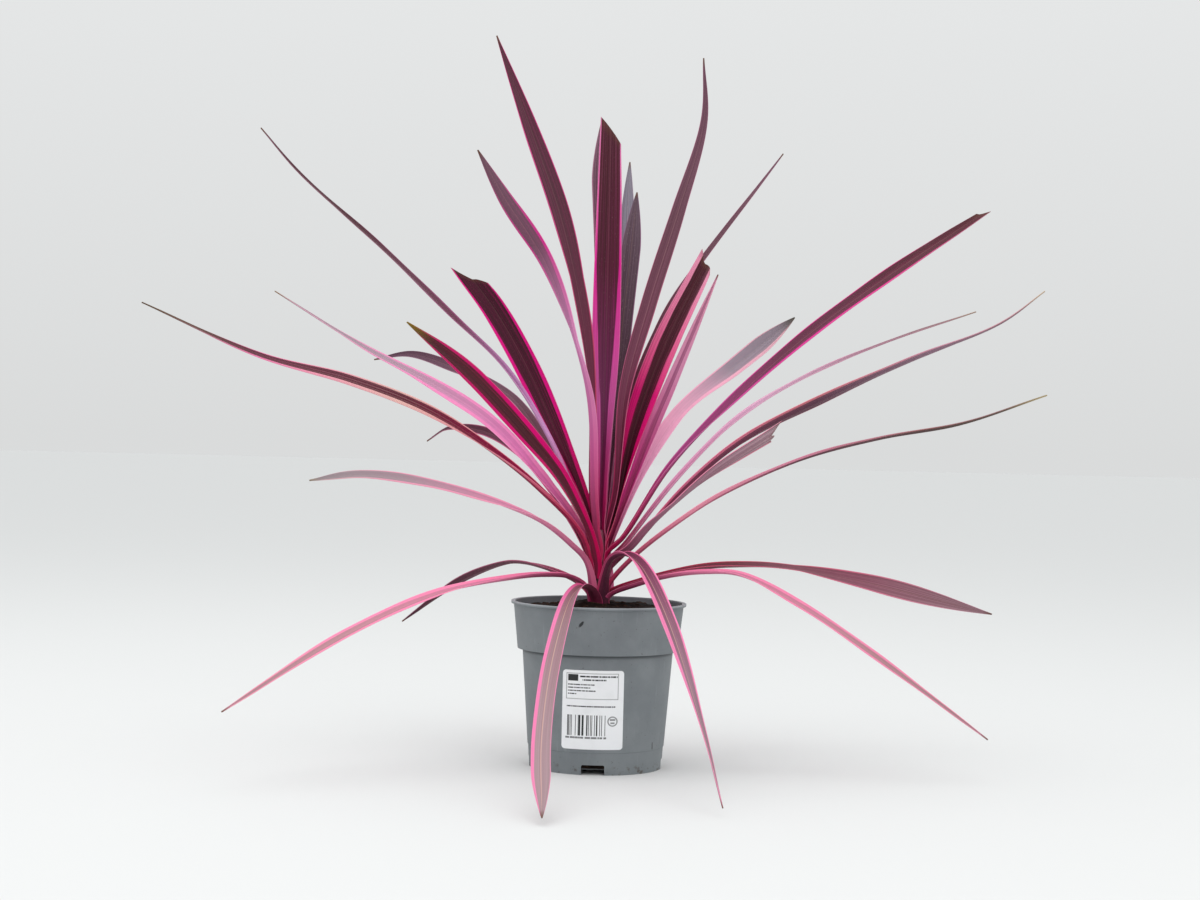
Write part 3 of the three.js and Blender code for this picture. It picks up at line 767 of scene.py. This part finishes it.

# %% [markdown]
# ### How the leaves are coloured
#
# No two leaves have quite the same colours: the young ones in the middle are deep burgundy
# with hot pink margins, older ones fade to mauve and pale rose, and others stay slate or
# garnet. On the lower, arching leaves the grey in the mauve middles is partly real fading and
# partly a painted reflection of the bright sky on their glossy tops. Each look lists the colours
# of a leaf's middle and margin at even steps from the base to the tip, and how wide the margin
# is there as a share of the half blade. sides makes it wider or narrower on the leaf's left and
# right, rib is how pale the midrib is, streaky how much the middle is streaked and streak in
# which colour, and specks how strong the pale flecks are. fade is how much the base takes the
# crimson and burgundy that all leaves share, and old tells where the dry tip begins and its
# colour. What a look leaves out is as in USUAL.

# %% Leaf looks
CRIMSON = "b41848"
BURGUNDY = "781038"
USUAL = dict(sides=(1, 1), rib=0.1, streaky=0.5, streak="2c0c18", specks=0.25, fade=0.65,
             old=(0.975, "6a4c38"))
# The grey middles of ribbon, arch, rose, dusty and mauve are partly real fading and partly painted
# sky reflection.
LOOKS = {
    "heart": dict(
        middle="803460 64284c 4a1e2a 4a2028", margin="c4407c c4609c e03c98 e888b8",
        width=(0.7, 0.6, 0.18, 0.1), rib=0.03),
    "night": dict(
        middle="5c1230 401826 3a1622", margin="c81c58 dc3084 d42880", width=(0.6, 0.36, 0.09),
        rib=0.03),
    # The pale last margin colour of blaze is its hot pink margin with a painted highlight.
    "blaze": dict(
        middle="480a20 380a18 42101a", margin="c41850 e02478 f0a0bc", width=(0.6, 0.66, 0.5),
        sides=(0.95, 0.6), rib=0.03, streaky=0.8),
    "olive": dict(
        middle="58102c 380c18 3c1018", margin="d41858 e8207c c43868", width=(0.56, 0.46, 0.26),
        rib=0.03, streaky=0.12, streak="6c5424", old=(0.9, "8c7428")),
    "banner": dict(
        middle="a83858 70384c 5a3642 5a3440", margin="c8385c c44c6c cc4484 e05494",
        width=(0.3, 0.14, 0.1, 0.12), rib=0.05),
    "dusk": dict(
        middle="8e3658 744054 6c4854 785464", margin="c03c70 b05070 b4748c b47890",
        width=(0.3, 0.1, 0.06, 0.06)),
    "cloud": dict(
        middle="6c3450 5c4450 5e4a56", margin="a84470 845878 745878", width=(0.2, 0.08, 0.05),
        specks=0.9),
    "twist": dict(
        middle="94304c bc5c90 d48cbc 745062 6a4e5a", margin="a83050 cc6898 e4a0cc e03c98 9c6078",
        width=(0.4, 0.5, 0.6, 0.26, 0.1), streaky=0.2, fade=0.5),
    "mist": dict(
        middle="7c3458 84586c 8a6878", margin="b84488 ac6c88 a87c90", width=(0.3, 0.14, 0.08)),
    "frost": dict(
        middle="6a3a5a 72667c 86808c", margin="9c4c84 84748c 908894", width=(0.3, 0.1, 0.05),
        specks=0.6),
    "flame": dict(
        middle="a0204c 9c4478 5c2c40 4c242e 50282e", margin="b8285c bc609c d83c94 dc4890 a05068",
        width=(0.5, 0.4, 0.24, 0.16, 0.06), sides=(0.4, 1.5), streaky=0.2),
    "plum": dict(
        middle="b0346c cc90c8 6c3c50 461c28 481e2a", margin="c03870 dca8dc 945078 6c2c44 5c3040",
        width=(0.5, 0.6, 0.3, 0.1, 0.05), streaky=0.25),
    "bloom": dict(
        middle="a0244c c04c84 c87ca4 b47890", margin="b8285c e0509c f0a8cc d898ac",
        width=(0.5, 0.5, 0.7, 0.5), streaky=0.25),
    "pale": dict(
        middle="e87cb4 fcb0d8 f8b4d0 948894 847a84", margin="e884b4 fcb4d8 fcb4d0 f4b0c4 d8a8b0",
        width=(0.5, 0.5, 0.5, 0.34, 0.2), sides=(0.3, 1.4), streaky=0.12, fade=0.35,
        old=(0.93, "505048")),
    "salmon": dict(
        middle="b01c50 8c1840 541028 4c1424 4c3424", margin="d02c64 e0788c dcb0a8 e074a0 5c4a30",
        width=(0.5, 0.7, 0.95, 0.8, 0.1), sides=(1.0, 0.12), old=(0.8, "5a4428")),
    "mauve": dict(
        middle="d05c98 e484bc a88c9c 8c8488", margin="dc689c f494c4 f08cbc d0a4b0",
        width=(0.7, 0.6, 0.4, 0.24), sides=(1.2, 0.6), streaky=0.2, fade=0.5,
        old=(0.94, "a88c6c")),
    "dusty": dict(
        middle="c86890 dc90b0 a08c94 8c8084", margin="dc7ca0 f4a0bc f098b4 b8a09c",
        width=(0.6, 0.6, 0.3, 0.1), sides=(1.3, 0.4), streaky=0.2, fade=0.35,
        old=(0.95, "9a8c7c")),
    "wine": dict(
        middle="8c2c50 683048 502838", margin="c84878 d85c90 8c4c60", width=(0.3, 0.24, 0.08)),
    "smoke": dict(
        middle="8c3c60 6c4454 54384a", margin="c85c88 a07088 604450", width=(0.3, 0.14, 0.05),
        specks=0.3),
    "brush": dict(
        middle="9c3c60 b08094 bca0a8", margin="c85880 f08cac e890a4", width=(0.3, 0.24, 0.14),
        sides=(1.4, 0.3), streaky=0.75, streak="50283a"),
    "reed": dict(
        middle="8c2048 70344c 5c3c4c 8c7080 907078", margin="c03c68 e07c9c d88088 c890a0 b08c84",
        width=(0.4, 0.3, 0.22, 0.2, 0.2), sides=(0.3, 1.4), old=(0.93, "c8b49c")),
    "lilac": dict(
        middle="b84878 dc94b8 d0a0bc a07888 8c7470", margin="d05c8c eca8cc e0b0c8 c88ca4 9c7c78",
        width=(0.5, 0.5, 0.4, 0.2, 0.1), streaky=0.2, old=(0.93, "c4ac9c")),
    "fern": dict(
        middle="b03c64 d88098 64404a 50403c 605848", margin="cc5078 f0a0b4 e090a8 8c6058 6c5c4c",
        width=(0.5, 0.8, 0.5, 0.2, 0.1), sides=(0.3, 1.2), old=(0.9, "c8b890")),
    "slate": dict(
        middle="8c2c50 5c2c3c 4c2834", margin="c03c68 a0506c 6c3c4c", width=(0.4, 0.16, 0.06)),
    "drift": dict(
        middle="8c2444 642c38 8c5868 a88890", margin="a02c4c c83c58 d07088 b8909c",
        width=(0.3, 0.16, 0.14, 0.1), streaky=0.6, streak="50202c"),
    "rose": dict(
        middle="b04870 d0809c b0848c a07c84", margin="d86490 f48cb0 f48cb0 e890a4",
        width=(0.5, 0.5, 0.4, 0.3), rib=0.3, streaky=0.25, fade=0.35),
    "shade": dict(
        middle="7a3450 8a6a76", margin="d04c80 d87098", width=(0.4, 0.3)),
    "ribbon": dict(
        middle="803c54 987c80 a48c90 a48c90", margin="d8548c f084b4 f080b0 e888b0",
        width=(0.5, 0.44, 0.4, 0.3), sides=(0.1, 1.1), rib=0.7, streaky=0.2),
    "arch": dict(
        middle="300e20 703850 907480 907a80", margin="b42854 f084b0 f088b4 e888ac",
        width=(0.2, 0.46, 0.44, 0.4), sides=(0.35, 1.4), rib=0.6, streaky=0.2, fade=0.1),
}
print("looks:", ", ".join(LOOKS))

# %% [markdown]
# ### The master blade
#
# The master is a grid, one unit long and one unit to each margin. Its middle column is pressed
# down with proportional editing, so the cross-section becomes a V with a round bottom. The
# copies keep this shape in their z numbers, and the formula scales it to the fold of the leaf.

# %% Master blade
BLADE_COLUMNS = 14
BLADE_ROWS = 84
start()
bpy.ops.mesh.primitive_grid_add(
    x_subdivisions=BLADE_COLUMNS, y_subdivisions=BLADE_ROWS, size=2, location=(0, 0, 0))
master = bpy.context.object
master.name = "master_blade"
bpy.ops.object.mode_set(mode="EDIT")
bpy.ops.mesh.select_mode(type="VERT")
bpy.ops.mesh.select_all(action="DESELECT")
shape = bmesh.from_edit_mesh(master.data)
for point in shape.verts:
    point.select = abs(point.co.x) < 0.01
shape.select_flush_mode()
bmesh.update_edit_mesh(master.data)
bpy.ops.transform.translate(
    value=(0, 0, -1), use_proportional_edit=True, proportional_edit_falloff="LINEAR",
    proportional_size=1.0)
bpy.ops.mesh.select_all(action="SELECT")
bpy.ops.transform.translate(value=(0, 1, 1))
bpy.ops.transform.resize(value=(1, 0.5, 1), center_override=(0, 0, 0))
bpy.ops.object.mode_set(mode="OBJECT")
heights = [point.co.z for point in master.data.vertices]
print("master blade:", len(heights), "points, crease depth", round(max(heights) - min(heights), 3))

# %% [markdown]
# ### Laying a copy along its line
#
# The midrib is a smooth curve through the seat and the points of the row. It starts a little
# lower than the seat, upright against the stem, because the base of a real leaf clasps the
# stem before the leaf leans out. At each row of points the formula knows the direction along
# the leaf, to its right and out of its upper face, and how wide and how folded the leaf is.

# %% Leaf line
CLASP_LENGTH = 11
SEAT_GAP = 0.9
LINE_STEPS = 40
BEND = 2


def lerp(low, high, share):
    return low + (high - low) * share


def smoothstep(x, low, high):
    share = np.clip((x - low) / (high - low), 0, 1)
    return share * share * (3 - 2 * share)


def leaf_line(leaf):
    """Points along the midrib, in mm, and the distance of each from the seat."""
    seat = leaf["seat"]
    low = seat - CLASP_LENGTH
    rows = [(stem_radius(height) + SEAT_GAP, height) for height in (low, seat)] + leaf["path"]
    reach = rows[-1][0]
    knots = []
    for out, up in rows:
        swing = math.radians(leaf["turn"]) * (out / reach) ** leaf.get("bend", BEND)
        knots.append(np.array([out * math.cos(swing), out * math.sin(swing), up]))
    knots = [2 * knots[0] - knots[1], *knots, 2 * knots[-1] - knots[-2]]
    line = []
    for i in range(1, len(knots) - 2):
        a, b, c, d = knots[i - 1:i + 3]
        before, inside, after = (np.linalg.norm(q - p) ** 0.5 for p, q in ((a, b), (b, c), (c, d)))
        leave = (b - a) / before - (c - a) / (before + inside) + (c - b) / inside
        arrive = (c - b) / inside - (d - b) / (inside + after) + (d - c) / after
        leave, arrive = leave * inside, arrive * inside
        for t in np.linspace(0, 1, LINE_STEPS, endpoint=False):
            line.append(b + leave * t + (3 * (c - b) - 2 * leave - arrive) * t ** 2
                        + (2 * (b - c) + leave + arrive) * t ** 3)
    line.append(knots[-2])
    line = np.array(line)
    lengths = np.concatenate([[0], np.cumsum(np.linalg.norm(np.diff(line, axis=0), axis=1))])
    return line, lengths - lengths[LINE_STEPS]  # the first stretch ends at the seat


line, distance = leaf_line(LEAVES[0])
print("lowest leaf:", round(distance[-1]), "mm long")

# %% Leaf form
NECK_RATIO = 0.66
NECK_LIMIT = 13.5
POINT_WIDTH = 1.2
SLANT_LENGTH = 60
TRIM_LENGTH = 14
WIDE = (0.5, 0.55)
TAPER_POWER = 1.6
NECK_FOLD = 40
BLADE_FOLD = 10


def leaf_width(leaf, share):
    """Width of the blade in mm at a share of its length: a neck, the blade, then its taper."""
    width = leaf["width"]
    neck = min(NECK_RATIO * width, NECK_LIMIT)
    end = leaf["cut"] * width if "cut" in leaf else POINT_WIDTH
    wide_from, wide_to = leaf.get("wide", WIDE)
    opening = lerp(neck, width, smoothstep(share, 0.05, wide_from))
    taper = max(0.0, (share - wide_to) / (1 - wide_to)) ** TAPER_POWER
    return lerp(opening, end, taper)


def leaf_fold(share):
    return math.radians(lerp(NECK_FOLD, BLADE_FOLD, smoothstep(share, 0.08, 0.5)))


def leaf_roll(leaf, share):
    middle, tip = leaf["roll"]
    if share < 0.5:
        return math.radians(middle * smoothstep(share, 0.05, 0.5))
    return math.radians(lerp(middle, tip, 2 * share - 1))


print("youngest leaf half way:", round(float(leaf_width(LEAVES[-1], 0.5)), 1), "mm wide")

# %% Leaf builder
CLASP_WIDTH = 15
CLASP_END = 34
CLASP_GAP = 1.2
CLASP_SPREAD = 1.25
RIPPLE_HEIGHT = 0.35
RIPPLE_LENGTH = 17


def lay_leaf(leaf, number):
    """A copy of the master blade, laid along the line of one leaf."""
    blade = master.copy()
    blade.data = master.data.copy()
    bpy.context.scene.collection.objects.link(blade)
    line, distance = leaf_line(leaf)
    length = distance[-1]
    draw = random.Random(number)
    phase = draw.uniform(0, 6.28)
    wave = draw.uniform(0.5, 1.0)
    heading = math.radians(leaf["heading"] - 90)
    spin = Matrix.Rotation(heading, 3, "Z")
    rows = []
    for row in range(BLADE_ROWS + 1):
        place = distance[0] + (length - distance[0]) * row / BLADE_ROWS
        middle = [np.interp(place, distance, line[:, k]) for k in range(3)]
        ahead = [np.interp(place + 1, distance, line[:, k]) for k in range(3)]
        behind = [np.interp(place - 1, distance, line[:, k]) for k in range(3)]
        along = (Vector(ahead) - Vector(behind)).normalized()
        right = Vector((0, -1, 0))
        right = (right - along * right.dot(along)).normalized()
        up = right.cross(along)
        share = max(0.0, place / length)
        turn = Matrix.Rotation(-leaf_roll(leaf, share), 3, along)
        slant = leaf.get("slant", 0) / 2 * max(0, 1 - (length - place) / SLANT_LENGTH)
        rows.append((Vector(middle), along, turn @ right, turn @ up, share, place, slant))
    for point in blade.data.vertices:
        side = point.co.x
        crease = point.co.z
        middle, along, right, up, share, place, slant = rows[round(point.co.y * BLADE_ROWS)]
        half = leaf_width(leaf, share) / 2
        fold = leaf_fold(share)
        flat = right * (side * half * math.cos(fold)) + up * (crease * half * math.sin(fold))
        clasp = 1 - smoothstep(place, 2, CLASP_END)
        if clasp > 0:
            radius = stem_radius(leaf["seat"] + place) + CLASP_GAP
            wide = min(CLASP_WIDTH / 2, radius * CLASP_SPREAD)
            angle = side * wide / radius
            wrap = right * (radius * math.sin(angle)) + up * (radius * (1 - math.cos(angle)))
            flat = flat.lerp(wrap, clasp)
        ripple = math.sin(place / RIPPLE_LENGTH + phase + 1.7 * side) * side * side
        ripple *= RIPPLE_HEIGHT * wave
        ripple *= smoothstep(share, 0.1, 0.4) * (1 - smoothstep(share, 0.85, 1.0))
        ragged = smoothstep(place, length - TRIM_LENGTH, length)
        if ragged and "trim" in leaf:
            trim = leaf["trim"]
            further = float(np.interp(side, np.linspace(-1, 1, len(trim)), trim))
            middle = middle + along * ragged * further
        position = middle + flat + along * (side * slant) + up * ripple
        point.co = spin @ position * MM
    return blade


print("points to lay per leaf:", len(master.data.vertices))

# %% [markdown]
# ### The finish of a blade
#
# The pattern follows the leaf, so it reads the UV map, across in U and along in V, and the
# colours that each leaf carries as attributes. The margin is a band whose inner edge wanders,
# with pink streaks that run off it lengthwise. Fine veins, the paler midrib, flecks, the dry
# tip and a soft gloss finish the upper side. The lower side is the same, a little duller.

# %% Blade finish


def blade_skin(name, under):
    finish = Finish(name)
    flat = finish.node("ShaderNodeUVMap", {"uv_map": "UVMap"}).out()
    parts = finish.node("ShaderNodeSeparateXYZ", {}, [flat])
    across = parts.out("X")
    seed = finish.attribute("leaf_seed")
    middle = finish.attribute("leaf_middle", "Color")
    margin = finish.attribute("leaf_margin", "Color")
    width = finish.attribute("leaf_margin_width")
    rib_strength = finish.attribute("leaf_rib")
    streaky = finish.attribute("leaf_streaky")
    streak_tone = finish.attribute("leaf_streak", "Color")
    inward = 1 - (across * 2 - 1).size()

    shifted = finish.node("ShaderNodeVectorMath", {"operation": "ADD"}, [
        flat, finish.node("ShaderNodeCombineXYZ", {}, [seed, seed * 3.1, seed]).out()]).out()
    broad = finish.noise(finish.scaled(shifted, (3, 5, 1)), 1, 2)
    streaks = finish.noise(finish.scaled(shifted, (30, 1.1, 1)), 1, 3, 0.6)
    fine = finish.noise(finish.scaled(shifted, (110, 1.6, 1)), 1, 2)
    mottle = finish.noise(finish.scaled(shifted, (9, 60, 1)), 1, 4, 0.6)

    wander = ((broad - 0.5) * 0.5 + (streaks - 0.5) * 0.45) * (width + 0.03)
    edge = inward - width - wander
    band = 1 - edge.rise(-0.035, 0.035)
    runs = streaks.rise(0.57, 0.66) * (1 - inward.rise(0.25, 0.9)) * width.rise(0.08, 0.4) * 0.7
    band = band.apply("MAXIMUM", runs)
    dark = finish.mix(streaks.rise(0.4, 0.62) * streaky, middle, streak_tone)
    dark = finish.mix(fine.rise(0.5, 0.7) * 0.18, dark, margin)
    light = finish.mix(fine.rise(0.42, 0.66) * 0.45, margin, middle)
    # Painted highlight: a pale band along the very edge of each margin.
    light = finish.mix((1 - inward.rise(0.0, 0.07)) * 0.2, light, srgb("f8b4d0"))
    skin = finish.mix(band, dark, light)
    rib = inward.rise(0.93, 0.985) * rib_strength
    skin = finish.mix(rib, skin, srgb("d2ab9c"))
    if under:
        skin = finish.mix(0.07, skin, srgb("8a6478"))
    specks = finish.noise(finish.scaled(shifted, (60, 420, 1)), 1, 0).rise(0.8, 0.83)
    skin = finish.mix(specks * finish.attribute("leaf_specks"), skin, srgb("d9c2b8"))
    dried = finish.mix(streaks.rise(0.4, 0.6) * 0.5, finish.attribute("leaf_tip", "Color"),
                       srgb("4e3424"))
    skin = finish.mix(finish.attribute("leaf_old"), skin, dried)

    deeper = {"Saturation": 1.05, "Color": skin}
    skin = finish.node("ShaderNodeHueSaturation", {}, deeper).out()
    finish.set(base_color=skin, roughness=0.38 + mottle * 0.16 + (0.12 if under else 0.0))
    finish.set(specular_ior_level=0.14)
    ridges = (across * 150).sine() * 0.3
    finish.bump(ridges + fine * 0.9 - inward.rise(0.9, 1.0) * 0.8, 0.14 * MM, 0.55)
    return finish


blade_top = blade_skin("blade_top", False)
blade_under = blade_skin("blade_under", True)
print("blade finishes:", blade_top.material.name, blade_under.material.name)

# %% Grow the leaves
THICK = 1.1
THIN_SHARE = 0.5
TINTS = (0.94, 1.08)
SEED_STEP = 1.37
DRIED_CUT = 0.4
DRIED_POINT = 0.95


def write(mesh, name, values):
    """Adds an attribute of the points: a colour where a value has four numbers."""
    values = np.array(values, dtype=np.float32)
    colour = values.ndim == 2
    attribute = mesh.attributes.new(name, "FLOAT_COLOR" if colour else "FLOAT", "POINT")
    attribute.data.foreach_set("color" if colour else "value", values.ravel())


def colour_leaf(blade, leaf, number):
    """Writes the colours of a leaf as attributes of its points."""
    look = {**USUAL, **LOOKS[leaf["look"]]}
    mesh = blade.data
    tint = random.Random(100 + number).uniform(*TINTS)
    share = np.array([point.co.y for point in master.data.vertices])
    side = np.array([point.co.x for point in master.data.vertices])
    base = look["fade"] * (1 - smoothstep(share, 0.0, 0.28)[:, None])

    def along(values):
        return np.interp(share, np.linspace(0, 1, len(values)), values)

    def evenly(value):
        return np.array([value] * len(share))

    for key, low in (("middle", BURGUNDY), ("margin", CRIMSON)):
        channels = zip(*(srgb(code) for code in look[key].split()))
        colour = np.stack([along(channel) for channel in channels], axis=1)
        colour = lerp(colour, np.array([srgb(low)]), base)
        write(mesh, "leaf_" + key, np.clip(colour * tint, 0, 1))
    left, right = look["sides"]
    write(mesh, "leaf_margin_width", along(look["width"]) * lerp(left, right, (side + 1) / 2))
    write(mesh, "leaf_rib", look["rib"] * smoothstep(share, 0.05, 0.25))
    write(mesh, "leaf_seed", evenly(number * SEED_STEP))
    write(mesh, "leaf_streaky", evenly(look["streaky"]))
    write(mesh, "leaf_streak", evenly(srgb(look["streak"])))
    write(mesh, "leaf_specks", evenly(look["specks"]))
    dry_from, dry_tone = look["old"]
    write(mesh, "leaf_tip", evenly(srgb(dry_tone)))
    dried = DRIED_CUT if "cut" in leaf else DRIED_POINT
    write(mesh, "leaf_old", dried * smoothstep(share, dry_from, 1.0))


# Solidify makes a blade thinner towards its margins by this group
thick = master.vertex_groups.new(name="thick")
for point in master.data.vertices:
    thick.add([point.index], 1 - THIN_SHARE * abs(point.co.x), "REPLACE")

for number, leaf in enumerate(LEAVES, start=1):
    blade = lay_leaf(leaf, number)
    colour_leaf(blade, leaf, number)
    blade.data.materials.append(blade_top.material)
    blade.data.materials.append(blade_under.material)
    modify(blade, "SOLIDIFY", thickness=THICK * MM, offset=-1, vertex_group="thick",
           material_offset=1, material_offset_rim=0)
    blade.vertex_groups.clear()
    only(blade)
    bpy.ops.object.shade_smooth_by_angle(angle=math.radians(50))
    settle(blade, f"blade_{number:02d}", "leaf", None, f"leaf_{number:02d}")
bpy.data.objects.remove(master)
